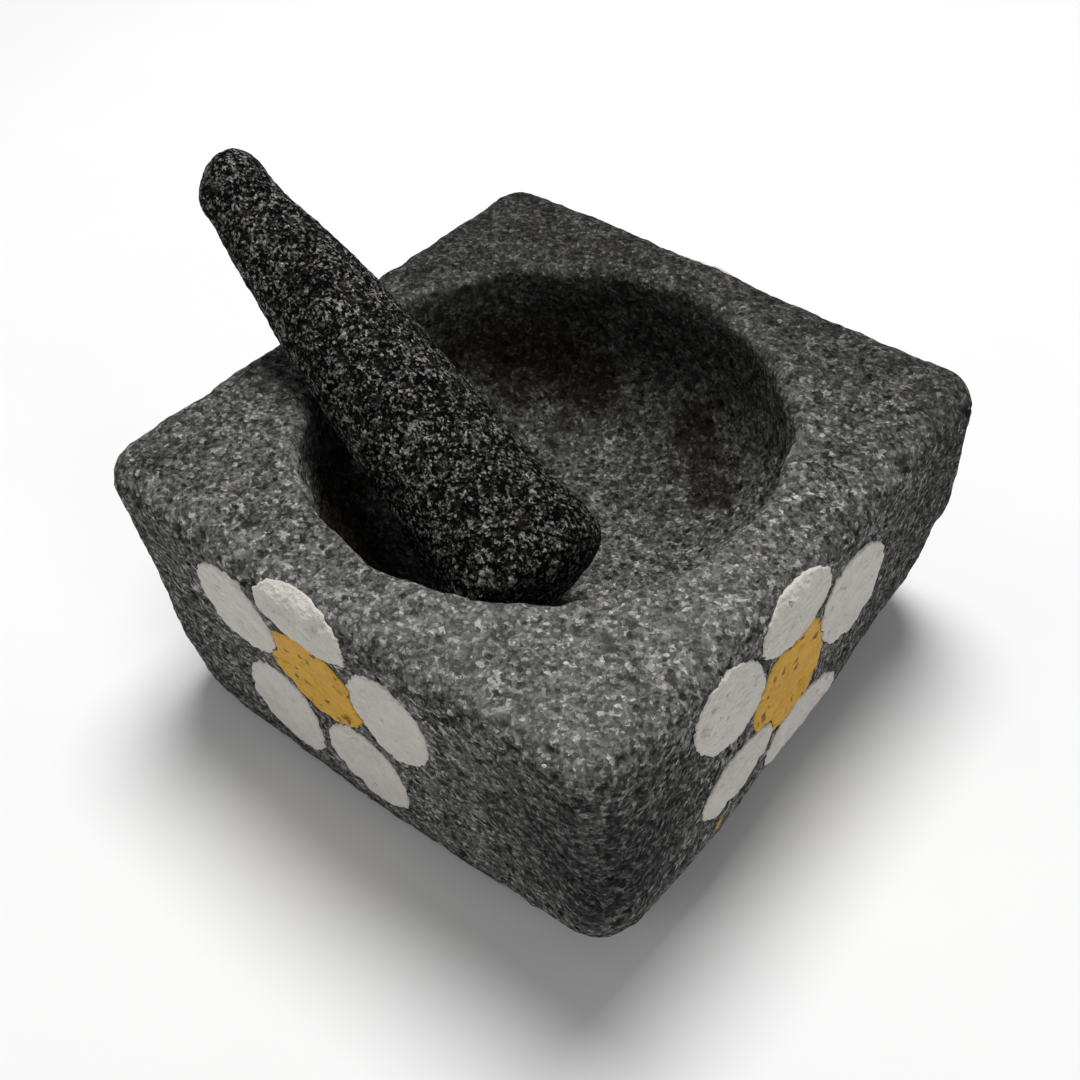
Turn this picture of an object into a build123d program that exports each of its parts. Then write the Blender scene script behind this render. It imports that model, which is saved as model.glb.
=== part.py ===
"""Square stone mortar (molcajete) with its loose pestle (tejolote) and painted daisies.

Millimetres, +Z up.  The origin is under the middle of the bowl, on the plane of the flat base.
The daisy called "front" is on the -Y side, "right" on +X, "back" on +Y and "left" on -X.
"""
import os
from collections import namedtuple
from math import cos, pi, radians, sin

from build123d import *

# ---- driving dimensions: the block ----
BLOCK_WIDTH = 180.0          # across the flats, just under the rounded top edge
BLOCK_HEIGHT = 96.0
BELLY_HEIGHT = 38.0          # where the sides start to curl under
TOP_CORNER_RADIUS = 12.0     # in plan
FOOT_CORNER_RADIUS = 45.0    # in plan
TOP_EDGE_RADIUS = 9.0        # worn edge between the top face and the sides

# distance of the -X, +X, -Y and +Y sides from the origin; the block is cut by eye and uneven
TOP_REACHES = (90.0, 90.0, 90.0, 90.0)
BELLY_REACHES = (86.0, 89.5, 87.5, 89.5)
FOOT_REACHES = (80.0, 75.0, 82.0, 69.0)

# ---- driving dimensions: the bowl ----
BOWL_RADIUS = 68.5           # at the wall, just under the lip
BOWL_DEPTH = 50.0
BOWL_SQUARENESS = 3.0        # exponent of the wall curve: 2 is a half ellipse, more is steeper
LIP_RADIUS = 3.0             # rounded lip

# ---- driving dimensions: the tejolote, stations measured from its thick end ----
PESTLE_LENGTH = 162.0
HEAD_RADIUS = 24.0           # widest place of the grinding end
HEAD_STATION = 11.0
SHOULDER_RADIUS = 21.2
SHOULDER_STATION = 42.0
GRIP_RADIUS = 18.6           # where the hand closes
GRIP_STATION = 80.0
NECK_RADIUS = 13.6
NECK_STATION = 128.0
TIP_RADIUS = 11.0            # the thin end is a half ball

# ---- how the tejolote leans at rest ----
PESTLE_TILT = 27.4           # degrees above the horizontal
PESTLE_HEADING = 171.0       # degrees from +X towards +Y, the way the thin end points
PESTLE_FOOT = (28.4, -34.1, 65.7)   # centre of the thick end

# ---- driving dimensions: the daisies ----
PAINT_THICKNESS = 0.5
CENTRE_LENGTH = 34.0
CENTRE_WIDTH = 30.0
CENTRE_LEAN = 60.0           # which way its length points, degrees from level
PAINT_REACH = 16.0           # how far in from the face the paint cutter goes

# side name, way its outside faces (degrees from +X), daisy's middle: sideways and height
DAISIES = (
    ("front", -90.0, -7.5, 60.5),
    ("right", 0.0, -8.5, 56.0),
    ("back", 90.0, 6.0, 58.5),
    ("left", 180.0, 3.0, 56.5),
)

# a petal's middle from the daisy's middle, its size, and which way its length points (degrees)
Petal = namedtuple("Petal", "sideways up length width lean")

# two daisies were painted freely; petals run from the top one anticlockwise
FREE_PETALS = {
    "front": (
        Petal(2.0, 26.0, 32.0, 18.5, 170),
        Petal(-27.5, 10.0, 34.5, 29.0, 74),
        Petal(-20.0, -30.0, 35.0, 31.0, 78),
        Petal(12.5, -31.0, 32.0, 27.0, 119),
        Petal(27.0, 4.0, 38.0, 26.0, 85),
    ),
    "right": (
        Petal(-1.0, 27.0, 32.0, 24.0, 170),
        Petal(-30.0, 17.5, 38.0, 27.0, 125),
        Petal(-25.0, -15.0, 34.0, 16.0, 3),
        Petal(9.0, -29.0, 39.0, 25.0, 169),
        Petal(30.5, 6.5, 38.5, 30.5, 116),
    ),
}

# the other two are even: five petals, each wider across its spoke than along it
EVEN_COUNT = 5
EVEN_LENGTH = 28.0           # along the spoke
EVEN_WIDTH = 33.0            # across it
EVEN_DISTANCE = 31.0         # from the daisy's middle to the petal's
TOP_LENGTH = 22.0            # the top petal is cut short by the block's worn top edge
TOP_DISTANCE = 26.5

FOOT_STEPS = 5               # sections through the curl of the foot
BOWL_STEPS = 9               # points along the bowl's wall curve


def outline(height, reaches, corner, skin):
    """Rounded rectangle across the block at a height, grown outwards by skin."""
    left, right, front, back = reaches
    size = (left + right + 2 * skin, front + back + 2 * skin)
    middle = ((right - left) / 2, (back - front) / 2, height)
    return Pos(*middle) * RectangleRounded(*size, corner + skin)


def foot_outlines(skin):
    """Outlines up the curl of the foot, a quarter ellipse from the base to the belly."""
    outlines = []
    for step in range(FOOT_STEPS + 1):
        turn = pi / 2 * step / FOOT_STEPS
        height = BELLY_HEIGHT * (1 - cos(turn))
        reaches = [
            foot + (belly - foot) * sin(turn)
            for foot, belly in zip(FOOT_REACHES, BELLY_REACHES)
        ]
        corner = FOOT_CORNER_RADIUS + (TOP_CORNER_RADIUS - FOOT_CORNER_RADIUS) * sin(turn)
        outlines.append(outline(height, reaches, corner, skin))
    return outlines


def block(skin=0.0):
    """The solid block with no bowl, its sides and top grown outwards by skin."""
    foot = foot_outlines(skin)
    top = outline(BLOCK_HEIGHT + skin, TOP_REACHES, TOP_CORNER_RADIUS, skin)
    upper = loft([foot[-1], top], ruled=True)
    top_edges = upper.edges().group_by(Axis.Z)[-1]
    worn = fillet(top_edges, TOP_EDGE_RADIUS + skin)
    return loft(foot) + worn


def bowl_wall_points():
    """Points of the bowl's wall curve, from the middle of the floor to under the lip."""
    wall_height = BOWL_DEPTH - LIP_RADIUS
    power = 2 / BOWL_SQUARENESS
    points = []
    for step in range(BOWL_STEPS + 1):
        turn = pi / 2 * step / BOWL_STEPS
        radius = BOWL_RADIUS * sin(turn) ** power
        drop = wall_height * cos(turn) ** power
        points.append((radius, BLOCK_HEIGHT - LIP_RADIUS - drop))
    return points


def bowl_cutter():
    """Everything that was ground away: the bowl, its rounded lip and the air above."""
    wall = bowl_wall_points()
    lip_top = (BOWL_RADIUS + LIP_RADIUS, BLOCK_HEIGHT)
    above = BLOCK_HEIGHT + LIP_RADIUS
    with BuildPart() as cutter:
        with BuildSketch(Plane.XZ):
            with BuildLine():
                Spline(*wall, tangents=((1, 0), (0, 1)))
                RadiusArc(wall[-1], lip_top, LIP_RADIUS)
                Polyline(lip_top, (lip_top[0], above), (0, above), wall[0])
            make_face()
        revolve(axis=Axis.Z)
    return cutter.part


def pestle_axis():
    """Plane at the thick end of the tejolote, its Z running to the thin end."""
    tilt, heading = radians(PESTLE_TILT), radians(PESTLE_HEADING)
    way = (cos(tilt) * cos(heading), cos(tilt) * sin(heading), sin(tilt))
    return Plane(origin=PESTLE_FOOT, z_dir=way)


def tejolote():
    """The pestle: one turned shape, blunt at the grinding end and rounded at the grip end."""
    tip_station = PESTLE_LENGTH - TIP_RADIUS
    side = (
        (HEAD_RADIUS, HEAD_STATION),
        (SHOULDER_RADIUS, SHOULDER_STATION),
        (GRIP_RADIUS, GRIP_STATION),
        (NECK_RADIUS, NECK_STATION),
        (TIP_RADIUS, tip_station),
    )
    with BuildPart() as turned:
        with BuildSketch(Plane.XZ):
            with BuildLine():
                EllipticalCenterArc(
                    (0, HEAD_STATION), HEAD_RADIUS, HEAD_STATION, start_angle=270, arc_size=90
                )
                Spline(*side, tangents=((0, 1), (0, 1)))
                CenterArc((0, tip_station), TIP_RADIUS, 0, 90)
                Line((0, PESTLE_LENGTH), (0, 0))
            make_face()
        revolve(axis=Axis.Z)
    return pestle_axis() * turned.part


def face_plane(facing, sideways, height):
    """Plane upright in front of a side, its X to the right as seen from outside."""
    turn = radians(facing)
    out = Vector(cos(turn), sin(turn), 0)
    right = Vector(-sin(turn), cos(turn), 0)
    origin = out * (BLOCK_WIDTH / 2) + right * sideways + Vector(0, 0, height)
    return Plane(origin=origin, x_dir=right, z_dir=out)


def oval(plane, middle, length, width, lean):
    """Cutter that stands on the face and reaches in past the paint."""
    flat = plane * Pos(*middle) * Rot(0, 0, lean) * Ellipse(length / 2, width / 2)
    return extrude(flat, amount=PAINT_REACH, both=True)


def even_petals():
    """The petals of an even daisy, the top one first."""
    petals = []
    for number in range(EVEN_COUNT):
        spoke = 90 + 360 * number / EVEN_COUNT
        distance = EVEN_DISTANCE if number else TOP_DISTANCE
        length = EVEN_LENGTH if number else TOP_LENGTH
        sideways, up = distance * cos(radians(spoke)), distance * sin(radians(spoke))
        petals.append(Petal(sideways, up, length, EVEN_WIDTH, spoke))
    return petals


def paint(cutter, body, grown):
    """The thin solid between the stone and the grown block that lies inside a cutter."""
    return (grown & cutter) - body


def daisy(body, grown, side, facing, sideways, height):
    """Five petals and the centre that fills the room between them, as (name, solid) pairs."""
    plane = face_plane(facing, sideways, height)
    places = FREE_PETALS.get(side) or even_petals()
    petals = [oval(plane, (p.sideways, p.up), p.length, p.width, p.lean) for p in places]
    centre = oval(plane, (0, 0), CENTRE_LENGTH, CENTRE_WIDTH, CENTRE_LEAN)
    for petal in petals:
        centre -= petal
    cutters = [(f"petal_{number + 1}", petal) for number, petal in enumerate(petals)]
    cutters.append(("centre", centre))
    return [(name, paint(cutter, body, grown)) for name, cutter in cutters]


def main():
    os.makedirs("parts", exist_ok=True)
    body = block()
    mortar = body - bowl_cutter()
    grown = block(PAINT_THICKNESS)
    export_step(mortar, "parts/mortar.step")
    export_step(tejolote(), "parts/tejolote.step")
    for side, facing, sideways, height in DAISIES:
        for name, solid in daisy(body, grown, side, facing, sideways, height):
            export_step(solid, f"parts/{side}_{name}.step")


main()
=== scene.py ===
from itertools import product
from math import cos, pi, radians, sin

import bpy
import numpy as np
from mathutils import Matrix, Vector
from mathutils.bvhtree import BVHTree
from mathutils.kdtree import KDTree


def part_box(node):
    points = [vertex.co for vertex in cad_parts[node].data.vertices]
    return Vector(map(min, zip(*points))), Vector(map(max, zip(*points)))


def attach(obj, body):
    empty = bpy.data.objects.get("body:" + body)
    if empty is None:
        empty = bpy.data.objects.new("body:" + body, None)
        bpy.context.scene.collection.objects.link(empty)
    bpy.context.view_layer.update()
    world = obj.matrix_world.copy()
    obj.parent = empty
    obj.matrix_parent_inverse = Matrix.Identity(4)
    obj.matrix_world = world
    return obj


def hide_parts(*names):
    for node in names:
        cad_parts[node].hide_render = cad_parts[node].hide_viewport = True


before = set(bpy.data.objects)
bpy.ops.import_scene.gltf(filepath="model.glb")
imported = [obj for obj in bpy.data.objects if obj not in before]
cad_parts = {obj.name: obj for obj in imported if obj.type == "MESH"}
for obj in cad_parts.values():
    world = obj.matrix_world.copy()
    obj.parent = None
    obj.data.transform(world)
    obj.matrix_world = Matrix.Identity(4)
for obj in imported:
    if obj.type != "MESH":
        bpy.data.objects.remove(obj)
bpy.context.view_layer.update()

# The looks of a stone mortar and its pestle: both stones are carved out of their CAD shapes,
# and the daisies are daubed on the carved stone, petal by petal.
# Lengths in this script are millimetres until METRE turns them into Blender's metres.
METRE = 0.001

# ---- the camera ----
CAMERA_SPOT = (190.12, -211.54, 342.55)
CAMERA_AIM = (10.23, 9.63, 56.01)
CAMERA_ROLL = -1.28          # degrees
CAMERA_LENS = 44.66          # for a sensor 36 wide
CAMERA_SHIFT = (-0.0556, -0.0278)

# ---- the mortar ----
BLOCK_HALF = 90.0
EDGE_RADIUS = 9.0            # the worn edge between the top and the sides
EDGE_START = 87.0            # height where it starts
BOWL_FLOOR = 46.0
LIP_RING = 70.0              # radius of the bowl's lip
MORTAR_VOXEL = 0.85
MORTAR_SMOOTHING = 6
# swells (+) and hollows (-) cut low on two sides: place along the side, reach, height
FRONT_SWELLS = ((-63.0, 22.0, 1.3), (-8.0, 36.0, 0.9), (53.0, 26.0, -1.5))
RIGHT_SWELLS = ((-48.0, 50.0, 1.7), (8.0, 40.0, 0.5))
LOW_FADE = (30.0, 55.0)      # heights between which they fade out
SIDE_FADE = (60.0, 82.0)     # distances from the middle between which they set in
RIGHT_BACK_HOLLOW = 2.5      # how far the right side draws in low down at its back end
HOLLOW_FADE = (20.0, 62.0)
FRONT_CROWN = 2.2            # how far the front stands out high up
CROWN_MIDDLE = -18.0
CROWN_REACH = 78.0
CROWN_RISE = (45.0, 92.0)
CROWN_FADE = (70.0, 88.0)
BACK_CORNER_GROWTH = 1.1     # how far the right back corner stands out high up
BACK_CORNER_FADE = (60.0, 80.0)
BACK_CORNER_RISE = (40.0, 52.0)
BACK_CORNER_FALL = (84.0, 94.0)
FRONT_CORNER_FOOT = (82.0, -80.0)
FRONT_CORNER_GROWTH = 1.2    # how far the front corner stands out at its foot
FRONT_CORNER_REACH = 16.0
# the noise that bends the lip in and out, and up and down: size, height, seed
LIP_WANDER = ((17.0, 1.9, 11), (7.0, 1.0, 12))
LIP_RISE = ((22.0, 0.8, 13),)
LIP_HEIGHT = 93.0
LIP_SPREAD = (9.0, 7.0)      # how far down and across the bending fades out
# the noise that roughens each stone, coarse to fine: size, height, seed
MORTAR_RELIEF = ((42, 0.75, 1), (15, 0.45, 2), (6, 0.28, 3), (2.6, 0.22, 4), (1.3, 0.15, 5))
TEJOLOTE_RELIEF = ((24, 0.5, 41), (9, 0.3, 42), (3.2, 0.22, 43), (1.4, 0.2, 44))
# faint rings worn in the bowl: height, spacing, seed, and how little they vary around it
RING_HEIGHT = 0.16
RING_SPACING = 1.8
RING_SEED = 31
RING_STRETCH = (0.12, 0.12, 1.0)
# open pores: how many, their least and greatest radius, depth for their radius, seed
MORTAR_PITS = (1500, (1.1, 2.4), 0.6, 6)
TEJOLOTE_PITS = (900, (0.9, 1.9), 0.55, 45)
# painted shade: pores are coloured darker the deeper they are, fully dark at these depths
MORTAR_PORE_DEPTH = 1.0      # a pore this deep is dark to its floor
TEJOLOTE_PORE_DEPTH = 0.8
UNDERSIDE = 1.5              # below this height the stone is worn flatter
UNDERSIDE_PORES = 0.4        # share of the pores' depth that is left there
# where the edges are rubbed pale: height and spread, spread about the lip, rim and spread
WORN_BAND = (93.5, 4.0)
WORN_LIP_SPREAD = 3.5
WORN_RIM = (86.0, 4.0)
WORN_RIM_SHARE = 0.6
CHIP_ROUGHNESS = ((3, 0.3, 21),)     # noise on a chip's floor: size, height, seed
# place, reach, depth of the chips knocked off its edges
CHIPS = (
    ((-25.0, 90.0, 96.0), 5.0, 2.4),
    ((41.0, 90.0, 96.0), 5.0, 2.2),
    ((12.0, 90.0, 95.0), 4.0, 1.0),
    ((84.0, -58.0, 4.0), 7.0, 2.0),
    ((-89.0, -52.0, 95.0), 6.0, 1.3),
    ((-88.0, 30.0, 95.0), 5.0, 1.5),
    ((89.0, 55.0, 94.0), 5.0, 1.2),
    ((60.0, 76.0, 3.0), 6.0, 1.6),
    ((-74.0, 62.0, 4.0), 7.0, 1.8),
)

# ---- the pestle, as it leans at rest; stations run from its thick end ----
PESTLE_FOOT = (28.4, -34.1, 65.7)
PESTLE_TILT = 27.4           # degrees above the horizontal
PESTLE_HEADING = 171.0       # degrees from +X towards +Y
PESTLE_LENGTH = 162.0
PESTLE_TIP_RADIUS = 11.0
PESTLE_VOXEL = 0.65
PESTLE_SMOOTHING = 4
TEJOLOTE_SINK = 0.25         # keeps the relief's peaks off the mortar
PESTLE_WAISTS = ((40.0, 30.0, 0.03), (148.0, 22.0, 0.05))    # station, reach, share drawn in
TIP_START = 146.0            # station where the tip's end begins
TIP_GROWTH = 0.2             # how much longer the tip is all round
TIP_SLANT = 2.4              # how much longer the tip is on one side
PESTLE_BEND = (143.0, 24.0, 1.1)     # station, reach and height of a swell on one side
STONE_GAP = 0.12             # room kept between the two stones
CLEAR_REACH = 4.0            # how far from the pestle that room is looked after

# ---- the paint ----
SIDES = {"front": -90.0, "right": 0.0, "back": 90.0, "left": 180.0}
PETAL_COUNT = 5
PAINT_THICKNESS = 0.55
PAINT_ROOT = 1.0             # how deep a daub's underside lies in the stone
RIM_HEIGHT = 0.25            # of the ridge that the brush leaves round a daub
RIM_PLACE = (0.93, 0.05)     # where that ridge is, and how broad, as shares of the reach
RIM_TUCK = 0.3               # how far a daub's very edge turns down
DAUB_FULLNESS = 9            # how long a daub keeps its height before its edge
DAUB_LUMPS = ((1.5, 0.5, 3), (4.5, 0.35, 4))     # size, height, step from the daub's seed
EDGE_WANDER = 0.03           # unevenness of a daub's outline, slow and fast
EDGE_TREMBLE = 0.04
WANDER_SIZE = 0.8            # size of that unevenness on an outline of radius 1
TREMBLE = ((0.13, 1.0, 1), (0.06, 0.7, 2))       # size, height, step from the daub's seed
DAB_WANDER = 0.2
PAINT_RINGS = 16
PAINT_SPOKES = 200
SPOKE_ANGLES = np.arange(PAINT_SPOKES) * 2 * pi / PAINT_SPOKES
RING_CROWDING = 1.6          # crowds a daub's rings towards its edge
PETAL_GROWTH = 1.01          # the ragged paint runs a little past the CAD petal
CENTRE_GROWTH = 1.12
CENTRE_GAP = 0.4             # bare stone between a daisy's centre and its petals
EDGE_ROLL = 50.0             # how far over the worn edge the paint may reach, degrees
RAY_START = 20.0             # how far outside the stone a look for its surface starts
RAY_REACH = 40.0
# side, sideways and height of its middle, half its length and width, turn (degrees), slot
STRAY_DABS = (
    ("right", -41.5, 26.0, 1.8, 1.2, 35.0, "yellow_paint"),
    ("front", 72.0, 92.3, 0.7, 0.5, 20.0, "white_paint"),
)
DAISY_SEED = 100
DAB_SEED = 900

# ---- the stones' colours: (share of the grains, linear colour) from dark to pale ----
MORTAR_GRAINS = (
    (0.0, (0.010, 0.010, 0.010)),
    (0.28, (0.040, 0.040, 0.039)),
    (0.5, (0.090, 0.089, 0.086)),
    (0.72, (0.152, 0.150, 0.144)),
    (0.9, (0.310, 0.302, 0.288)),
    (1.0, (0.460, 0.448, 0.425)),
)
TEJOLOTE_GRAINS = (
    (0.0, (0.0010, 0.0010, 0.0010)),
    (0.42, (0.0025, 0.0024, 0.0022)),
    (0.56, (0.013, 0.0125, 0.012)),
    (0.68, (0.055, 0.053, 0.050)),
    (0.82, (0.150, 0.147, 0.140)),
    (1.0, (0.330, 0.325, 0.310)),
)
MORTAR_GRAIN = 1.35
TEJOLOTE_GRAIN = 0.95
HOLE_SHADE_COLOUR = (0.0084, 0.008, 0.0076)
PORE_SHADE_COLOUR = (0.01296, 0.012, 0.01104)
WEAR_AND_LIGHT_GAIN = 2.1              # how much paler the grains are where the stone is worn and where painted light falls on its top
WEAR_AND_LIGHT_COLOUR = (0.12, 0.12, 0.12)
WEAR_AND_LIGHT_CORNER = (62, -62, 96)  # the top is palest here
SHADE_START = (60, -95, 96)  # painted shade: the stone gets darker with the distance from here
SHADE_COLOUR = (0.0126, 0.012, 0.0114)
DARK_EDGE_SPOT = (84, -84, 52)    # half way up the front edge
DARK_EDGE_COLOUR = (0.01, 0.01, 0.01)
MARK_SPOT = (70, -74, 10)    # a tan rub mark low on the front corner
MARK_COLOUR = (0.26, 0.17, 0.1)
FILM_AND_SHADE_COLOUR = (0.011, 0.0086, 0.0055)
# places on the bowl's wall where the brown film and painted shade are thick, and how far they
# spread there; the last four are painted shadow beside the pestle
FILM_AND_SHADOW_SPOTS = (
    ((-56, 32, 80), 24), ((-48, 42, 70), 21), ((-38, 50, 62), 20), ((-28, 52, 57), 17),
    ((-45, 52, 86), 20), ((-30, 60, 87), 17), ((-14, 66, 88), 14), ((2, 68, 88), 12),
    ((13, 55, 56), 12), ((22, 48, 53), 13), ((31, 41, 53), 11),
    # painted shadow: these four lie beside and under the pestle on the bowl's left wall
    ((-62, -24, 76), 26), ((-53, -39, 70), 28), ((-43, -46, 64), 26), ((-28, -52, 60), 24),
)

# ---- the paints: clean colour, stained colour, pit colour, share and reach of the pits ----
PAINTS = {
    "white_paint": ((0.58, 0.555, 0.51), (0.47, 0.445, 0.405), (0.36, 0.33, 0.29), 0.12, 0.3),
    "yellow_paint": ((0.62, 0.34, 0.02), (0.48, 0.25, 0.014), (0.13, 0.065, 0.01), 0.5, 0.42),
}

# ---- the studio, in metres and watts: name, place, width, power ----
WORLD_STRENGTH = 0.2
LAMP_AIM = (0, 0, 0.05)
LAMPS = (
    ("key", (-0.22, 0.36, 1.42), 0.7, 22),
    ("front fill", (-0.6, -1.6, 0.62), 1.0, 6.1),
    ("side fill", (1.6, -0.3, 0.62), 1.0, 5.7),
)
FLOOR_HALF = 3.0
FLOOR_DROP = 0.00005         # keeps the floor off the stone's flat foot

# the noise's lattice: how it is turned, so that it never lines up with a side, and its size
SKEW = np.array(Matrix.Rotation(0.7, 3, "X") @ Matrix.Rotation(0.5, 3, "Y"))
LATTICE = 32


# ---------------------------------------------------------------- shape helpers

def noise(points, size, seed):
    """Smooth noise from -1 to 1 that turns over about every size."""
    values = np.random.default_rng(seed).uniform(-1, 1, (LATTICE,) * 3)
    place = points @ SKEW.T / size
    cell = np.floor(place).astype(int)
    part = place - cell
    part = part * part * (3 - 2 * part)
    total = np.zeros(len(points))
    for corner in product((0, 1), repeat=3):
        index = (cell + corner) % LATTICE
        weight = np.where(np.array(corner) == 1, part, 1 - part).prod(axis=1)
        total += weight * values[tuple(index.T)]
    return total


def relief(points, layers):
    """Roughness of a surface, summed from layers of noise."""
    total = np.zeros(len(points))
    for size, height, seed in layers:
        total += height * noise(points, size, seed)
    return total


def swells(along, places):
    """How far a side stands out at each place along it."""
    total = np.zeros(len(along))
    for place, reach, height in places:
        total += height * hill(np.abs(along - place), reach)
    return total


def hill(distance, reach):
    """1 at no distance, falling smoothly to 0 at reach."""
    near = np.clip(1 - (distance / reach) ** 2, 0, 1)
    return near * near


def bell(value, middle, spread):
    """1 at the middle, and a smooth fall to either side."""
    return np.exp(-((value - middle) / spread) ** 2)


def step_up(value, low, high):
    """0 up to low, 1 from high on, and a smooth rise in between."""
    part = np.clip((value - low) / (high - low), 0, 1)
    return part * part * (3 - 2 * part)


def vertex_points(mesh):
    """The mesh's vertices in millimetres."""
    flat = np.empty(len(mesh.vertices) * 3)
    mesh.vertices.foreach_get("co", flat)
    return flat.reshape(-1, 3) / METRE


def set_points(mesh, points):
    """Moves the mesh's vertices to these places, given in millimetres."""
    mesh.vertices.foreach_set("co", (points * METRE).ravel())
    mesh.update()


def vertex_normals(mesh):
    """The unit normal at each vertex."""
    flat = np.empty(len(mesh.vertices) * 3)
    mesh.vertex_normals.foreach_get("vector", flat)
    return flat.reshape(-1, 3)


def set_attribute(mesh, name, values):
    """Keeps one value per vertex for a material to read."""
    layer = mesh.attributes.new(name, "FLOAT", "POINT")
    layer.data.foreach_set("value", values)


def tree_of(mesh):
    """Ray and nearest-point tree of a mesh, in metres."""
    return BVHTree.FromPolygons(
        [v.co for v in mesh.vertices], [p.vertices[:] for p in mesh.polygons]
    )


def new_piece(name, mesh, body, material, nodes):
    """Puts a finished mesh in the scene and says what it rides on and stands for."""
    mesh.polygons.foreach_set("use_smooth", np.ones(len(mesh.polygons), bool))
    mesh.materials.clear()
    mesh.materials.append(material)
    piece = bpy.data.objects.new(name, mesh)
    bpy.context.scene.collection.objects.link(piece)
    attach(piece, body)
    if nodes:
        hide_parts(*nodes)


def even_mesh(node, name, voxel, rounds):
    """The CAD node's shape again, as an even mesh with its sharp edges worn off."""
    rough = bpy.data.objects.new(name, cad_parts[node].data.copy())
    bpy.context.scene.collection.objects.link(rough)
    remesh = rough.modifiers.new("remesh", "REMESH")
    remesh.mode = "VOXEL"
    remesh.voxel_size = voxel * METRE
    soften = rough.modifiers.new("soften", "SMOOTH")
    soften.factor = 0.5
    soften.iterations = rounds
    graph = bpy.context.evaluated_depsgraph_get()
    mesh = bpy.data.meshes.new_from_object(rough.evaluated_get(graph))
    bpy.data.objects.remove(rough)
    mesh.name = name
    return mesh


def pits(points, count, radii, depth, seed):
    """How deep each point lies in open pores scattered at random over the surface."""
    random = np.random.default_rng(seed)
    tree = KDTree(len(points))
    for index, point in enumerate(points):
        tree.insert(point, index)
    tree.balance()
    deep = np.zeros(len(points))
    for index in random.integers(0, len(points), count):
        radius = radii[0] + (radii[1] - radii[0]) * random.random() ** 3
        for _, other, distance in tree.find_range(points[index], radius):
            pit = depth * radius * (1 - (distance / radius) ** 2)
            deep[other] = max(deep[other], pit)
    return deep


# ---------------------------------------------------------------- the mortar

def cut_sides(points):
    """Uneven sides of a block cut by hand, as a shift of each point."""
    shift = np.zeros_like(points)
    x, y, z = points.T
    low = 1 - step_up(z, *LOW_FADE)
    crown = step_up(z, *CROWN_RISE) * step_up(-y, *CROWN_FADE)
    crown = crown * hill(np.abs(x - CROWN_MIDDLE), CROWN_REACH)
    shift[:, 1] -= FRONT_CROWN * crown
    shift[:, 1] -= low * step_up(-y, *SIDE_FADE) * swells(x, FRONT_SWELLS)
    right = swells(y, RIGHT_SWELLS) - RIGHT_BACK_HOLLOW * step_up(y, *HOLLOW_FADE)
    shift[:, 0] += low * step_up(x, *SIDE_FADE) * right
    high = step_up(z, *BACK_CORNER_RISE) * (1 - step_up(z, *BACK_CORNER_FALL))
    shift[:, 0] += BACK_CORNER_GROWTH * high * step_up(np.minimum(x, y), *BACK_CORNER_FADE)
    foot_x, foot_y = FRONT_CORNER_FOOT
    corner = low * hill(np.hypot(x - foot_x, y - foot_y), FRONT_CORNER_REACH)
    shift[:, 0] += FRONT_CORNER_GROWTH * corner
    shift[:, 1] -= FRONT_CORNER_GROWTH * corner
    return shift


def cut_lip(points):
    """The bowl's lip bent in and out and up and down, as a shift of each point."""
    shift = np.zeros_like(points)
    x, y, z = points.T
    around = np.hypot(x, y)
    down, across = LIP_SPREAD
    lip = bell(z, LIP_HEIGHT, down) * bell(around, LIP_RING, across)
    ring = points.copy()
    ring[:, 2] = 0
    outward = lip * relief(ring, LIP_WANDER) / np.maximum(around, 1)
    shift[:, 0] = outward * x
    shift[:, 1] = outward * y
    shift[:, 2] = lip * relief(ring, LIP_RISE)
    return shift


def chipped(points):
    """How deep each point lies in a chip knocked off an edge."""
    rough = 1 + relief(points, CHIP_ROUGHNESS)
    deep = np.zeros(len(points))
    for place, reach, depth in CHIPS:
        away = np.linalg.norm(points - np.array(place), axis=1)
        deep = np.maximum(deep, depth * hill(away, reach) * rough)
    return deep


def ground_rings(points, normals):
    """Faint rings that the pestle wore into the bowl's wall."""
    x, y, z = points.T
    wall = (np.hypot(x, y) < LIP_RING) & (z > BOWL_FLOOR - 2)
    stretched = points * np.array(RING_STRETCH)
    upright = 1 - np.abs(normals[:, 2])
    return wall * upright * noise(stretched, RING_SPACING, RING_SEED)


def mortar_mesh(pestle_tree):
    """The block with its uneven sides, relief, pores and chips."""
    mesh = even_mesh("mortar", "mortar_stone_mesh", MORTAR_VOXEL, MORTAR_SMOOTHING)
    points = vertex_points(mesh)
    normals = vertex_normals(mesh)
    points = points + cut_sides(points) + cut_lip(points)
    height = relief(points, MORTAR_RELIEF) + RING_HEIGHT * ground_rings(points, normals)
    pores = pits(points, *MORTAR_PITS)
    pores[points[:, 2] < UNDERSIDE] *= UNDERSIDE_PORES
    height -= pores + chipped(points)
    points = points + normals * height[:, None]
    points[:, 2] = np.maximum(points[:, 2], 0)
    points = keep_clear(points, pestle_tree)
    set_points(mesh, points)
    set_attribute(mesh, "pore", np.clip(pores / MORTAR_PORE_DEPTH, 0, 1))
    set_attribute(mesh, "worn", worn_edges(points))
    return mesh


def worn_edges(points):
    """How far the edges are rubbed pale: the bowl's lip most, then the block's top edges."""
    x, y, z = points.T
    high = bell(z, *WORN_BAND)
    lip = bell(np.hypot(x, y), LIP_RING, WORN_LIP_SPREAD)
    rim = bell(np.maximum(np.abs(x), np.abs(y)), *WORN_RIM)
    patchy = np.clip(0.6 + 0.8 * noise(points, 14, 51), 0, 1)
    return high * np.maximum(lip, WORN_RIM_SHARE * rim) * patchy


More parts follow.
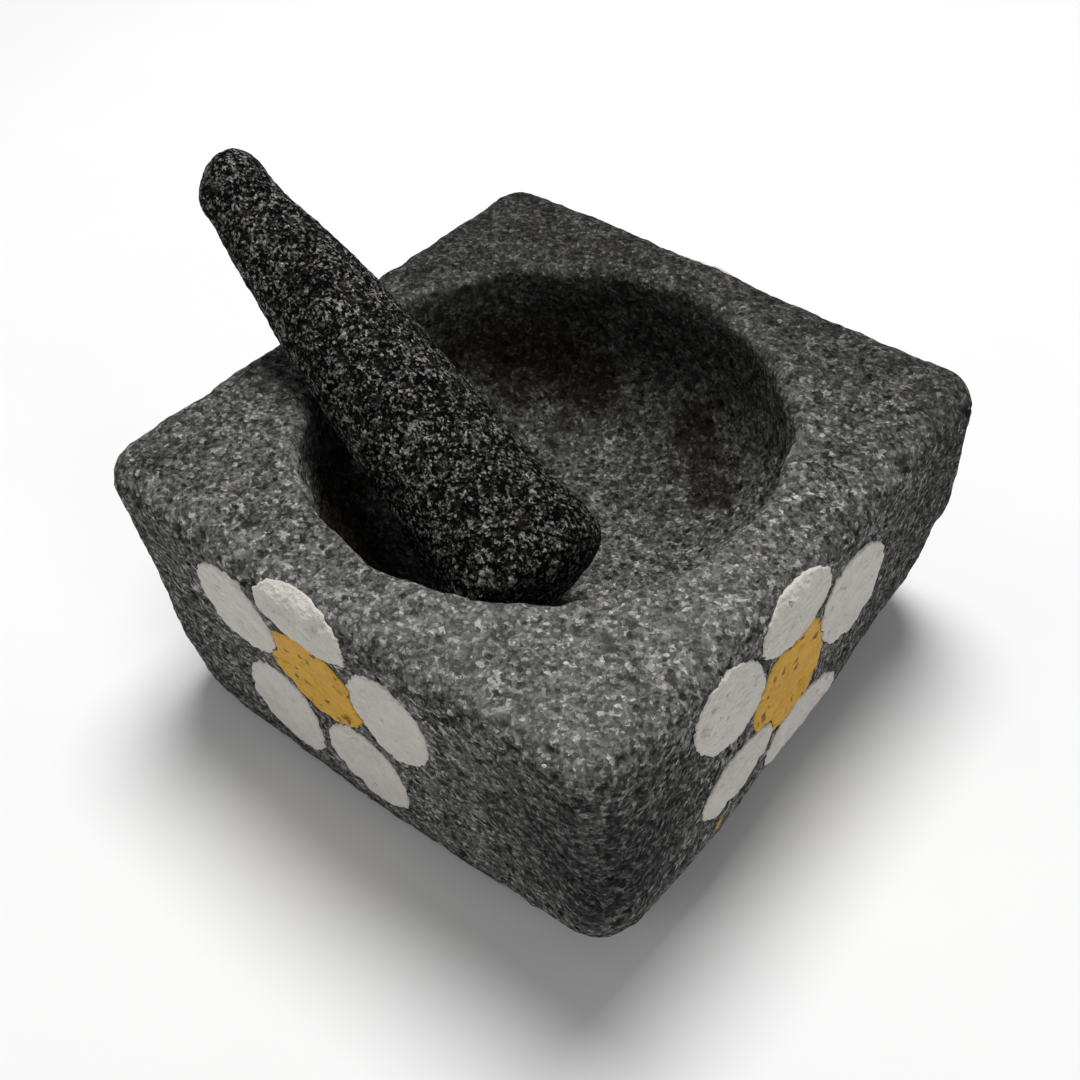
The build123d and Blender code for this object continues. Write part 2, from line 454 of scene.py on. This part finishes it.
def keep_clear(points, other_tree):
    """Presses back any point that would stand in the other stone."""
    points = points.copy()
    low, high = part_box("tejolote")
    low, high = np.array(low) / METRE - CLEAR_REACH, np.array(high) / METRE + CLEAR_REACH
    near = np.flatnonzero(((points > low) & (points < high)).all(axis=1))
    for index in near:
        point = Vector(points[index] * METRE)
        spot, normal, _, away = other_tree.find_nearest(point)
        if away > CLEAR_REACH * METRE:
            continue
        outside = (point - spot).dot(normal) / METRE
        if outside < STONE_GAP:
            points[index] = np.array(spot + normal * STONE_GAP * METRE) / METRE
    return points


# ---------------------------------------------------------------- the pestle

def pestle_axis():
    """Where the pestle's thick end is, and its directions along and sideways."""
    tilt, heading = radians(PESTLE_TILT), radians(PESTLE_HEADING)
    along = np.array((cos(tilt) * cos(heading), cos(tilt) * sin(heading), sin(tilt)))
    side = np.cross((0, 0, 1), along)
    side /= np.linalg.norm(side)
    return np.array(PESTLE_FOOT), along, side


def hand_shaped(points):
    """The pestle's turned shape made slightly crooked, slimmer behind its head."""
    foot, along, side = pestle_axis()
    station = (points - foot) @ along
    radial = points - foot - station[:, None] * along
    points = points - radial * swells(station, PESTLE_WAISTS)[:, None]
    tip = step_up(station, TIP_START, PESTLE_LENGTH)
    slant = (radial @ side) / PESTLE_TIP_RADIUS
    points = points + along * (tip * (TIP_GROWTH - TIP_SLANT * slant))[:, None]
    bend = swells(station, (PESTLE_BEND,)) * step_up(slant, 0, 1)
    return points + np.outer(bend, side)


def pestle_mesh():
    """The pestle with its crooked shape, relief and pores."""
    mesh = even_mesh("tejolote", "tejolote_stone_mesh", PESTLE_VOXEL, PESTLE_SMOOTHING)
    points = hand_shaped(vertex_points(mesh))
    normals = vertex_normals(mesh)
    pores = pits(points, *TEJOLOTE_PITS)
    height = relief(points, TEJOLOTE_RELIEF) - pores - TEJOLOTE_SINK
    points = points + normals * height[:, None]
    set_points(mesh, points)
    set_attribute(mesh, "pore", np.clip(pores / TEJOLOTE_PORE_DEPTH, 0, 1))
    return mesh


# ---------------------------------------------------------------- the daisies

class Face:
    """One side of the block: across to the right and up, seen from outside."""

    def __init__(self, facing, stone_tree):
        turn = radians(facing)
        self.out = np.array((cos(turn), sin(turn), 0.0))
        self.right = np.array((-sin(turn), cos(turn), 0.0))
        self.tree = stone_tree

    def flat(self, points):
        """Across and up for each point."""
        return np.column_stack((points @ self.right, points[:, 2]))

    def onto(self, flat):
        """Places on the stone under each flat place, with the stone's normals."""
        places, normals = [], []
        above = np.array((0.0, 0.0, 1.0))
        for across, up in flat:
            # a place above the flat side is looked for square to the worn edge
            roll = radians(EDGE_ROLL) * np.clip((up - EDGE_START) / EDGE_RADIUS, 0, 1)
            way = self.out * cos(roll) + above * sin(roll)
            heart = self.out * (BLOCK_HALF - EDGE_RADIUS) + self.right * across
            heart = heart + above * min(up, EDGE_START)
            start = Vector((heart + way * (EDGE_RADIUS + RAY_START)) * METRE)
            spot, normal, _, _ = self.tree.ray_cast(start, Vector(-way), RAY_REACH * METRE)
            if spot is None:
                spot, normal, _, _ = self.tree.find_nearest(Vector(heart * METRE))
            places.append(np.array(spot) / METRE)
            normals.append(np.array(normal))
        return np.array(places), np.array(normals)


def node_flat(face, node):
    """A CAD node's vertices as flat places on its side."""
    return face.flat(vertex_points(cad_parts[node].data))


def ragged(seed):
    """Unevenness of a painted edge at each spoke: a slow wander and a fast tremble."""
    height = np.full(PAINT_SPOKES, float(seed))
    loop = np.column_stack((np.cos(SPOKE_ANGLES), np.sin(SPOKE_ANGLES), height))
    slow = noise(loop, WANDER_SIZE, seed)
    fast = relief(loop, [(size, high, seed + step) for size, high, step in TREMBLE])
    return slow, fast


def square_to(way):
    """The flat direction square to another."""
    return np.array((-way[1], way[0]))


def oval(middle, long_way, half_length, half_width, grow):
    """Edge places of an oval whose reach is multiplied by grow at each spoke."""
    edge = middle + np.outer(np.cos(SPOKE_ANGLES) * half_length * grow, long_way)
    return edge + np.outer(np.sin(SPOKE_ANGLES) * half_width * grow, square_to(long_way))


def petal_outline(face, node, seed):
    """Middle and edge places of one petal, an oval that leans as the CAD's does."""
    flat = node_flat(face, node)
    middle = (flat.min(axis=0) + flat.max(axis=0)) / 2
    leans = np.radians(np.arange(0, 180, 3))
    ways = np.column_stack((np.cos(leans), np.sin(leans)))
    long_way = ways[np.ptp(flat @ ways.T, axis=0).argmax()]
    half_length = np.ptp(flat @ long_way) / 2
    half_width = np.ptp(flat @ square_to(long_way)) / 2
    slow, fast = ragged(seed)
    grow = PETAL_GROWTH + EDGE_WANDER * slow + EDGE_TREMBLE * fast
    return middle, oval(middle, long_way, half_length, half_width, grow)


def inside(edge, points):
    """Which flat points lie inside a closed outline."""
    result = np.zeros(len(points), bool)
    for start, end in zip(edge, np.roll(edge, -1, axis=0)):
        crosses = (start[1] > points[:, 1]) != (end[1] > points[:, 1])
        rise = np.where(end[1] == start[1], 1e-9, end[1] - start[1])
        reach = (end[0] - start[0]) * (points[:, 1] - start[1]) / rise + start[0]
        result ^= crosses & (points[:, 0] < reach)
    return result


def centre_outline(face, node, petals, seed):
    """Middle and edge of a daisy's centre, which fills the room between the petals."""
    flat = node_flat(face, node)
    middle = (flat.min(axis=0) + flat.max(axis=0)) / 2
    slow, fast = ragged(seed)
    grow = CENTRE_GROWTH + EDGE_WANDER * slow + EDGE_TREMBLE * fast
    reach = (np.ptp(flat, axis=0).mean() / 2) * grow
    way = np.column_stack((np.cos(SPOKE_ANGLES), np.sin(SPOKE_ANGLES)))
    steps = np.linspace(0.3, 1, 141)
    for spoke in range(PAINT_SPOKES):
        line = middle + np.outer(steps * reach[spoke], way[spoke])
        hit = np.zeros(len(steps), bool)
        for _, edge in petals:
            hit |= inside(edge, line)
        if hit.any():
            stop = steps[hit.argmax()] * reach[spoke] - CENTRE_GAP * (1 + fast[spoke])
            reach[spoke] = stop
    return middle, middle + way * reach[:, None]


def smoothed(depth):
    """The stone's depth under a daub, evened out, as thick paint half fills the pores."""
    grid = depth[1:].reshape(PAINT_RINGS, PAINT_SPOKES)
    for _ in range(2):
        around = (np.roll(grid, 1, 1) + np.roll(grid, -1, 1)) / 2
        padded = np.pad(grid, ((1, 1), (0, 0)), "edge")
        grid = (2 * grid + around + (padded[:-2] + padded[2:]) / 2) / 4
    return np.concatenate(([grid[0].mean()], grid.ravel()))


def daub_faces(count):
    """Faces of a daub whose top has count vertices: its middle, then ring after ring."""
    faces = []
    for spoke in range(PAINT_SPOKES):
        after = (spoke + 1) % PAINT_SPOKES
        faces.append((0, 1 + spoke, 1 + after))
        faces.append((count, count + 1 + after, count + 1 + spoke))
        for ring in range(PAINT_RINGS - 1):
            inner, outer = 1 + ring * PAINT_SPOKES, 1 + (ring + 1) * PAINT_SPOKES
            faces.append((inner + spoke, outer + spoke, outer + after, inner + after))
            faces.append(
                (count + inner + spoke, count + inner + after,
                 count + outer + after, count + outer + spoke)
            )
        last = 1 + (PAINT_RINGS - 1) * PAINT_SPOKES
        faces.append((last + spoke, count + last + spoke, count + last + after, last + after))
    return faces


def daub_mesh(name, face, middle, edge, seed, thickness=PAINT_THICKNESS):
    """A closed daub of thick paint laid on the stone within a ragged outline."""
    rings = 1 - (1 - np.linspace(0, 1, PAINT_RINGS + 1)[1:]) ** RING_CROWDING
    flat = [middle[None, :]]
    for ring in rings:
        flat.append(middle + (edge - middle) * ring)
    flat = np.concatenate(flat)
    share = np.concatenate(([0.0], np.repeat(rings, PAINT_SPOKES)))
    places, normals = face.onto(flat)
    depth = places @ face.out
    places = places + np.outer(smoothed(depth) - depth, face.out)
    body = np.sqrt(1 - share ** DAUB_FULLNESS)
    lumps = 1 + relief(places, [(size, high, seed + step) for size, high, step in DAUB_LUMPS])
    rim = RIM_HEIGHT * bell(share, *RIM_PLACE)
    height = thickness * (body * lumps + rim) - RIM_TUCK * (share > 0.995)
    top = places + (normals + face.out) * height[:, None] / 2
    bottom = places - face.out * PAINT_ROOT
    points = np.concatenate((top, bottom))
    mesh = bpy.data.meshes.new(name)
    mesh.from_pydata((points * METRE).tolist(), [], daub_faces(len(top)))
    mesh.update()
    return mesh


def stray_dab(number, face, dab, material):
    """A small slip of the brush beside a daisy."""
    side, across, up, half_length, half_width, turn, slot = dab
    slow, _ = ragged(DAB_SEED + number)
    long_way = np.array((cos(radians(turn)), sin(radians(turn))))
    middle = np.array((across, up))
    edge = oval(middle, long_way, half_length, half_width, 1 + DAB_WANDER * slow)
    seed = DAB_SEED + 10 + number
    mesh = daub_mesh(f"dab_{number}", face, middle, edge, seed, PAINT_THICKNESS / 2)
    new_piece(f"stray_dab_{side}_{number}", mesh, "mortar_body", material, [])


def painted(node, mesh, paints, slot):
    """Puts a daub in the place of its CAD node."""
    new_piece(f"painted_{node}", mesh, "mortar_body", paints[slot], [node])


def paint_daisy(side, face, paints, seed):
    """Petals and centre of one side."""
    petals = []
    for number in range(1, PETAL_COUNT + 1):
        node = f"{side}_petal_{number}"
        outline = petal_outline(face, node, seed + 10 * number)
        petals.append(outline)
        mesh = daub_mesh(node, face, *outline, seed + number)
        painted(node, mesh, paints, "white_paint")
    node = f"{side}_centre"
    outline = centre_outline(face, node, petals, seed + 7)
    mesh = daub_mesh(node, face, *outline, seed + 8)
    painted(node, mesh, paints, "yellow_paint")


# ---------------------------------------------------------------- materials

class Look:
    """A material's nodes, with short calls for the ones used here."""

    def __init__(self, name):
        self.material = bpy.data.materials.new(name)
        self.material.use_nodes = True
        self.nodes = self.material.node_tree.nodes
        self.links = self.material.node_tree.links
        self.shader = self.nodes["Principled BSDF"]
        self.place = self.nodes.new("ShaderNodeTexCoord").outputs["Object"]

    def feed(self, socket, value):
        """Gives a socket a link, a colour or a plain number."""
        if isinstance(value, bpy.types.NodeSocket):
            self.links.new(value, socket)
        elif isinstance(value, tuple) and len(value) == 3 and socket.type == "RGBA":
            socket.default_value = (*value, 1)
        else:
            socket.default_value = value

    def cloud(self, size, detail=3.0, stretch=None, rough=0.5):
        """Soft noise, about 0.5, whose blotches are about size millimetres across."""
        node = self.nodes.new("ShaderNodeTexNoise")
        node.noise_dimensions = "4D"
        node.inputs["W"].default_value = 0
        node.inputs["Scale"].default_value = 1 / (size * METRE)
        node.inputs["Detail"].default_value = detail
        node.inputs["Roughness"].default_value = rough
        place = self.place
        if stretch:
            place = self.scaled(place, stretch)
        self.links.new(place, node.inputs["Vector"])
        return node.outputs["Fac"]

    def scaled(self, place, factors):
        """A place with each of its coordinates multiplied."""
        node = self.nodes.new("ShaderNodeVectorMath")
        node.operation = "MULTIPLY"
        self.links.new(place, node.inputs[0])
        node.inputs[1].default_value = factors
        return node.outputs[0]

    def warped(self, size, amount):
        """The place, pushed about so that cells lose their straight edges."""
        node = self.nodes.new("ShaderNodeTexNoise")
        node.inputs["Scale"].default_value = 1 / (size * METRE)
        node.inputs["Detail"].default_value = 2
        self.links.new(self.place, node.inputs["Vector"])
        push = self.nodes.new("ShaderNodeVectorMath")
        push.operation = "MULTIPLY_ADD"
        self.links.new(node.outputs["Color"], push.inputs[0])
        push.inputs[1].default_value = (amount * METRE,) * 3
        self.links.new(self.place, push.inputs[2])
        return push.outputs[0]

    def cells(self, size, place):
        """(distance from the cell's middle in cell sizes, a random value per cell)."""
        node = self.nodes.new("ShaderNodeTexVoronoi")
        node.inputs["Scale"].default_value = 1 / (size * METRE)
        self.links.new(place, node.inputs["Vector"])
        split = self.nodes.new("ShaderNodeSeparateColor")
        self.links.new(node.outputs["Color"], split.inputs[0])
        return node.outputs["Distance"], split.outputs[0]

    def sum(self, kind, first, second, third=0.5):
        """One step of arithmetic; only some kinds use the third value."""
        node = self.nodes.new("ShaderNodeMath")
        node.operation = kind
        for socket, value in zip(node.inputs, (first, second, third)):
            self.feed(socket, value)
        return node.outputs[0]

    def fit(self, value, low, high, to_low=0.0, to_high=1.0):
        """Smoothly maps low..high to to_low..to_high."""
        node = self.nodes.new("ShaderNodeMapRange")
        node.interpolation_type = "SMOOTHSTEP"
        for socket, part in zip(node.inputs, (value, low, high, to_low, to_high)):
            self.feed(socket, part)
        return node.outputs[0]

    def mix(self, share, first, second, kind="MIX"):
        """The first colour with a share of the second."""
        node = self.nodes.new("ShaderNodeMix")
        node.data_type = "RGBA"
        node.blend_type = kind
        self.feed(node.inputs[0], share)
        self.feed(node.inputs[6], first)
        self.feed(node.inputs[7], second)
        return node.outputs[2]

    def ramp(self, value, stops):
        """Colours along a value; stops are (position, colour)."""
        node = self.nodes.new("ShaderNodeValToRGB")
        elements = node.color_ramp.elements
        for position, colour in stops[1:-1]:
            elements.new(position)
        for element, (position, colour) in zip(elements, stops):
            element.position = position
            element.color = (*colour, 1)
        self.feed(node.inputs[0], value)
        return node.outputs[0]

    def attribute(self, name):
        """A value that the mesh carries at each vertex."""
        node = self.nodes.new("ShaderNodeAttribute")
        node.attribute_name = name
        return node.outputs["Fac"]

    def facing_up(self):
        """1 where the surface faces straight up, 0 where it is upright."""
        node = self.nodes.new("ShaderNodeNewGeometry")
        split = self.nodes.new("ShaderNodeSeparateXYZ")
        self.links.new(node.outputs["Normal"], split.inputs[0])
        return split.outputs[2]

    def near(self, spot):
        """Distance in millimetres from a spot on the object."""
        node = self.nodes.new("ShaderNodeVectorMath")
        node.operation = "DISTANCE"
        self.links.new(self.place, node.inputs[0])
        node.inputs[1].default_value = tuple(part * METRE for part in spot)
        return self.sum("MULTIPLY", node.outputs["Value"], 1 / METRE)

    def bump(self, height, distance):
        """Fine relief: the normal of a surface raised by height times distance."""
        node = self.nodes.new("ShaderNodeBump")
        node.inputs["Distance"].default_value = distance * METRE
        self.links.new(height, node.inputs["Height"])
        return node.outputs[0]

    def finish(self, colour, roughness, normal, specular):
        """Wires the shader up and gives the finished material."""
        self.feed(self.shader.inputs["Base Color"], colour)
        self.feed(self.shader.inputs["Roughness"], roughness)
        self.feed(self.shader.inputs["Specular IOR Level"], specular)
        self.links.new(normal, self.shader.inputs["Normal"])
        return self.material


def grey(value):
    """A colour with equal parts."""
    return (value, value, value)


def shade(colour, look, strength):
    """The colour made darker or lighter by one factor."""
    return look.mix(1.0, colour, grey(strength), "MULTIPLY")


def basalt(name, grain, stops, hole_share):
    """Volcanic stone: a mosaic of grains from near black to pale, with small pores painted dark
    as their shade.

    Gives the look, the colour, each grain's value and where the small holes are.
    """
    look = Look(name)
    place = look.warped(grain * 0.6, grain * 0.8)
    _, small = look.cells(grain * 0.62, place)
    _, large = look.cells(grain * 1.15, place)
    drift = look.cloud(7, 5, rough=0.65)
    value = look.sum("MULTIPLY_ADD", small, 0.5, look.sum("MULTIPLY", large, 0.5))
    value = look.sum("MULTIPLY_ADD", look.sum("SUBTRACT", drift, 0.5), 0.55, value)
    colour = look.ramp(value, stops)
    distance, chance = look.cells(grain * 2.1, look.warped(grain, grain * 1.6))
    hole = look.fit(distance, 0.12, 0.42, 1.0, 0.0)
    holes = look.sum("MULTIPLY", hole, look.fit(chance, 1 - hole_share, 1.03 - hole_share))
    # painted shade: the small holes in the grain are coloured near black
    colour = look.mix(look.sum("MULTIPLY", holes, 0.9), colour, HOLE_SHADE_COLOUR)
    # painted shade: the carved pores are coloured darker the deeper they are
    pore = look.sum("MULTIPLY", look.attribute("pore"), 0.75)
    colour = look.mix(pore, colour, PORE_SHADE_COLOUR)
    return look, colour, value, holes


def stone_surface(look, colour, value, holes, depth):
    """Relief and roughness that go with the grains: pale ones stand up and glint a little."""
    fine = look.cloud(0.6, 3)
    coarse = look.cloud(2.8, 4)
    height = look.sum("MULTIPLY_ADD", fine, 0.4, look.sum("MULTIPLY", coarse, 1.8))
    height = look.sum("MULTIPLY_ADD", value, 0.7, height)
    height = look.sum("SUBTRACT", height, look.sum("MULTIPLY", holes, 0.9))
    roughness = look.fit(value, 0.6, 0.95, 0.93, 0.5)
    gloss = look.fit(value, 0.35, 0.9, 0.03, 0.45)
    gloss = look.sum("MULTIPLY", gloss, look.sum("SUBTRACT", 1.0, holes))
    return look.finish(colour, roughness, look.bump(height, depth), gloss)


def blots(look, spots):
    """1 in the middle of each spot, fading to 0 at its reach, with a ragged edge."""
    ragged_edge = look.fit(look.cloud(9, 4), 0.3, 0.7, 0.6, 1.45)
    total = 0.0
    for place, reach in spots:
        away = look.sum("MULTIPLY", look.near(place), ragged_edge)
        total = look.sum("MAXIMUM", total, look.fit(away, reach * 0.3, reach, 1.0, 0.0))
    return total


def worn_and_lit_pale(look, colour, up):
    """The top is worn and painted lighter than the sides, as light falls on it, most at its front
    corner; its edges are worn pale.
    """
    # painted light on top of the wear: where the top faces up it is made paler, most near the
    # front corner
    lit_and_worn_patch = look.fit(look.near(WEAR_AND_LIGHT_CORNER), 20, 85, 1.0, 0.15)
    worn = look.sum("MULTIPLY", up, look.fit(look.cloud(30, 3), 0.35, 0.65, 0.4, 1.0))
    worn = look.sum("MULTIPLY", worn, look.sum("MULTIPLY", lit_and_worn_patch, 0.5))
    worn = look.sum("MAXIMUM", worn, look.sum("MULTIPLY", look.attribute("worn"), 0.5))
    colour = look.mix(worn, colour, shade(colour, look, WEAR_AND_LIGHT_GAIN))
    return look.mix(look.sum("MULTIPLY", worn, 0.8), colour, WEAR_AND_LIGHT_COLOUR)


def darkened(look, colour, up):
    """Painted shade darkens it towards the back, and its front edge is darker than the sides."""
    # painted shade: darker towards the back
    back = look.fit(look.near(SHADE_START), 95, 205, 0.0, 0.78)
    colour = look.mix(back, colour, SHADE_COLOUR)
    # darker half way up the front edge, on the sides only
    dark_edge = look.fit(look.near(DARK_EDGE_SPOT), 12, 50, 0.75, 0.0)
    dark_edge = look.sum("MULTIPLY", dark_edge, look.sum("SUBTRACT", 1.0, up))
    return look.mix(dark_edge, colour, DARK_EDGE_COLOUR)


def filmed_and_shaded(look, colour):
    """The bowl's wall has a brown film and painted shade, darkest under the back and the left of
    the lip, with painted shadow beside the pestle.
    """
    bowl = look.fit(look.near((0, 0, BOWL_FLOOR + 24)), 66, 71, 1.0, 0.0)
    # film and painted shade: walls that face sideways are a little darker than the floor
    film = look.fit(look.facing_up(), 0.25, 0.85, 0.06, 0.0)
    film = look.sum("MAXIMUM", film, look.sum("MULTIPLY", blots(look, FILM_AND_SHADOW_SPOTS), 0.9))
    return look.mix(look.sum("MULTIPLY", film, bowl), colour, FILM_AND_SHADE_COLOUR)


def marked(look, colour):
    """A rub mark low on the front corner."""
    mark = look.fit(look.near(MARK_SPOT), 3, 11, 1.0, 0.0)
    mark = look.sum("MULTIPLY", mark, look.fit(look.cloud(3, 3), 0.45, 0.6))
    return look.mix(look.sum("MULTIPLY", mark, 0.6), colour, MARK_COLOUR)


def mortar_material():
    """Coarse grey stone, worn and painted lighter on top, with painted shade towards the back and
    a film with painted shade in the bowl.
    """
    look, colour, value, holes = basalt("mortar basalt", MORTAR_GRAIN, MORTAR_GRAINS, 0.2)
    up = look.fit(look.facing_up(), 0.35, 0.95)
    colour = worn_and_lit_pale(look, colour, up)
    colour = darkened(look, colour, up)
    colour = filmed_and_shaded(look, colour)
    colour = marked(look, colour)
    return stone_surface(look, colour, value, holes, 0.8)


def pestle_material():
    """Finer and nearly black stone with a bright speckle."""
    look, colour, value, holes = basalt("tejolote basalt", TEJOLOTE_GRAIN, TEJOLOTE_GRAINS, 0.25)
    return stone_surface(look, colour, value, holes, 0.9)


def paint_material(name, colour, stain, pit_colour, pit_share, pit_reach):
    """Thick acrylic paint with faint brush streaks, dirt and pits."""
    look = Look(name)
    blotch = look.fit(look.cloud(7, 5, rough=0.6), 0.38, 0.7)
    mixed = look.mix(look.sum("MULTIPLY", blotch, 0.55), colour, stain)
    distance, chance = look.cells(3.4, look.warped(2.6, 3.6))
    reach = look.sum("MULTIPLY", look.fit(look.cloud(5, 2), 0.38, 0.62, 0.35, 1.15), pit_reach)
    pit = look.fit(distance, look.sum("MULTIPLY", reach, 0.5), reach, 1.0, 0.0)
    pit = look.sum("MULTIPLY", pit, look.fit(chance, 1 - pit_share, 1.05 - pit_share))
    mixed = look.mix(look.sum("MULTIPLY", pit, 0.85), mixed, pit_colour)
    streak = look.cloud(1.2, 3, (1.0, 1.0, 0.35))
    grit = look.cloud(1.4, 4)
    height = look.sum("MULTIPLY_ADD", streak, 0.3, look.sum("MULTIPLY", grit, 2.0))
    height = look.sum("SUBTRACT", height, look.sum("MULTIPLY", pit, 0.9))
    roughness = look.fit(look.cloud(5, 3), 0.3, 0.7, 0.45, 0.7)
    return look.finish(mixed, roughness, look.bump(height, 0.7), 0.35)


def floor_material():
    """A pale studio floor."""
    look = Look("pale floor")
    colour = look.mix(look.cloud(60, 2), grey(0.8), grey(0.83))
    return look.finish(colour, 0.9, look.bump(look.cloud(2, 2), 0.02), 0.1)


# ---------------------------------------------------------------- floor, light, camera

def add_floor():
    """The plain floor that the stone stands on."""
    turns = ((-1, -1), (1, -1), (1, 1), (-1, 1))
    corners = [(x * FLOOR_HALF, y * FLOOR_HALF, -FLOOR_DROP) for x, y in turns]
    mesh = bpy.data.meshes.new("floor")
    mesh.from_pydata(corners, [], [(0, 1, 2, 3)])
    mesh.materials.append(floor_material())
    floor = bpy.data.objects.new("floor", mesh)
    bpy.context.scene.collection.objects.link(floor)


def add_lamp(name, spot, width, power):
    """A soft round lamp that faces the object."""
    light = bpy.data.lights.new(name, "AREA")
    light.shape = "DISK"
    light.size = width
    light.energy = power
    lamp = bpy.data.objects.new(name, light)
    lamp.location = spot
    way = Vector(LAMP_AIM) - Vector(spot)
    lamp.rotation_euler = way.to_track_quat("-Z", "Y").to_euler()
    bpy.context.scene.collection.objects.link(lamp)


def add_light():
    """A pale world, the lamps, and colours shown as they are."""
    world = bpy.data.worlds.new("studio")
    world.use_nodes = True
    background = world.node_tree.nodes["Background"]
    background.inputs["Color"].default_value = (1, 1, 1, 1)
    background.inputs["Strength"].default_value = WORLD_STRENGTH
    bpy.context.scene.world = world
    for lamp in LAMPS:
        add_lamp(*lamp)
    bpy.context.scene.view_settings.view_transform = "Standard"


def add_camera():
    """The view from above one corner."""
    camera = bpy.data.cameras.new("camera")
    camera.lens = CAMERA_LENS
    camera.sensor_width = 36
    camera.shift_x, camera.shift_y = CAMERA_SHIFT
    camera.clip_start = 0.01
    viewer = bpy.data.objects.new("camera", camera)
    spot = Vector(CAMERA_SPOT) * METRE
    look = (Vector(CAMERA_AIM) * METRE - spot).to_track_quat("-Z", "Y")
    roll = Matrix.Rotation(radians(CAMERA_ROLL), 4, "Z")
    viewer.matrix_world = Matrix.Translation(spot) @ look.to_matrix().to_4x4() @ roll
    bpy.context.scene.collection.objects.link(viewer)
    bpy.context.scene.camera = viewer


def main():
    add_camera()
    add_light()
    add_floor()
    pestle = pestle_mesh()
    mortar = mortar_mesh(tree_of(pestle))
    new_piece(
        "stone_mortar", mortar, "mortar_body", mortar_material(), ["mortar"]
    )
    new_piece(
        "stone_tejolote", pestle, "tejolote_body", pestle_material(),
        ["tejolote"]
    )
    paints = {
        slot: paint_material(slot.replace("_", " "), *colours) for slot, colours in PAINTS.items()
    }
    stone = tree_of(mortar)
    faces = {side: Face(facing, stone) for side, facing in SIDES.items()}
    for number, (side, face) in enumerate(faces.items(), 1):
        paint_daisy(side, face, paints, DAISY_SEED * number)
    for number, dab in enumerate(STRAY_DABS, 1):
        side, slot = dab[0], dab[-1]
        stray_dab(number, faces[side], dab, paints[slot])


main()
